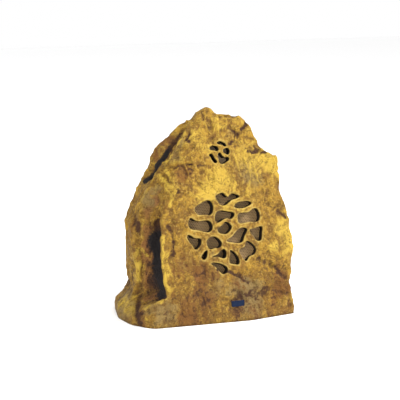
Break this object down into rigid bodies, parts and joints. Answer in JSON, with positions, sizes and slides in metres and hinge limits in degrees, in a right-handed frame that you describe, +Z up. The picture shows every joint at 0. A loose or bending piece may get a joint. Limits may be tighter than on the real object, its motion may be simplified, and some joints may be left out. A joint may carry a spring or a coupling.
{
  "type": "garden speaker",
  "caption": "Rock-shaped garden loudspeaker: hollow cast shell with cracked grille openings, mesh-covered woofer and tweeter behind them, base plate and rear cable gland.",
  "frame": {"origin": "on the ground under the middle of the rock's outline", "axes": "+Z up, -Y towards the grilles, +X to the right seen from the front"},
  "size_m": [0.3147, 0.2152, 0.3599],
  "materials": {
    "shell": "cast resin, sponge-painted as weathered stone",
    "base": "moulded, fine grain",
    "gasket": "closed-cell foam",
    "mesh": "perforated sheet, powder coated",
    "screw": "zinc plated",
    "basket": "pressed, black enamel",
    "surround": "soft rubber roll",
    "cone": "treated paper pulp",
    "spider": "resin-dipped cloth",
    "copper": "enamelled copper wire",
    "iron": "zinc plated",
    "ferrite": "sintered ferrite",
    "horn": "moulded black",
    "dome": "coated silk",
    "board": "glass-epoxy board",
    "capacitor": "film capacitor sleeve",
    "resistor": "cement block",
    "terminal": "screw terminal block",
    "lamination": "stacked silicon steel",
    "winding": "taped coil",
    "pad": "pressboard",
    "gland": "black nylon",
    "seal": "neoprene",
    "badge": "bare dark blue plate"
  },
  "bodies": {
    "root": {"rock_shell": "shell", "badge_plate": "badge", "base_plate": "base", "base_gasket": "gasket", "base_screws": "screw", "woofer_mesh": "mesh", "tweeter_mesh": "mesh", "woofer_gasket": "gasket", "woofer_frame": "basket", "woofer_surround": "surround", "woofer_cone": "cone", "woofer_dust_cap": "cone", "woofer_voice_coil": "copper", "woofer_spider": "spider", "woofer_top_plate": "iron", "woofer_magnet": "ferrite", "woofer_yoke": "iron", "woofer_screws": "screw", "tweeter_plate": "horn", "tweeter_dome": "dome", "tweeter_coil": "copper", "tweeter_top_plate": "iron", "tweeter_magnet": "ferrite", "tweeter_yoke": "iron", "tweeter_screws": "screw", "crossover_board": "board", "crossover_standoffs": "gland", "crossover_screws": "screw", "crossover_inductor": "copper", "crossover_capacitor": "capacitor", "crossover_resistor": "resistor", "crossover_terminals": "terminal", "transformer_core": "lamination", "transformer_winding": "winding", "transformer_strap": "iron", "transformer_saddle": "pad", "transformer_screws": "screw", "gland_body": "gland", "gland_locknut": "gland", "gland_seal": "seal", "gland_cap": "gland"}
  },
  "joints": []
}
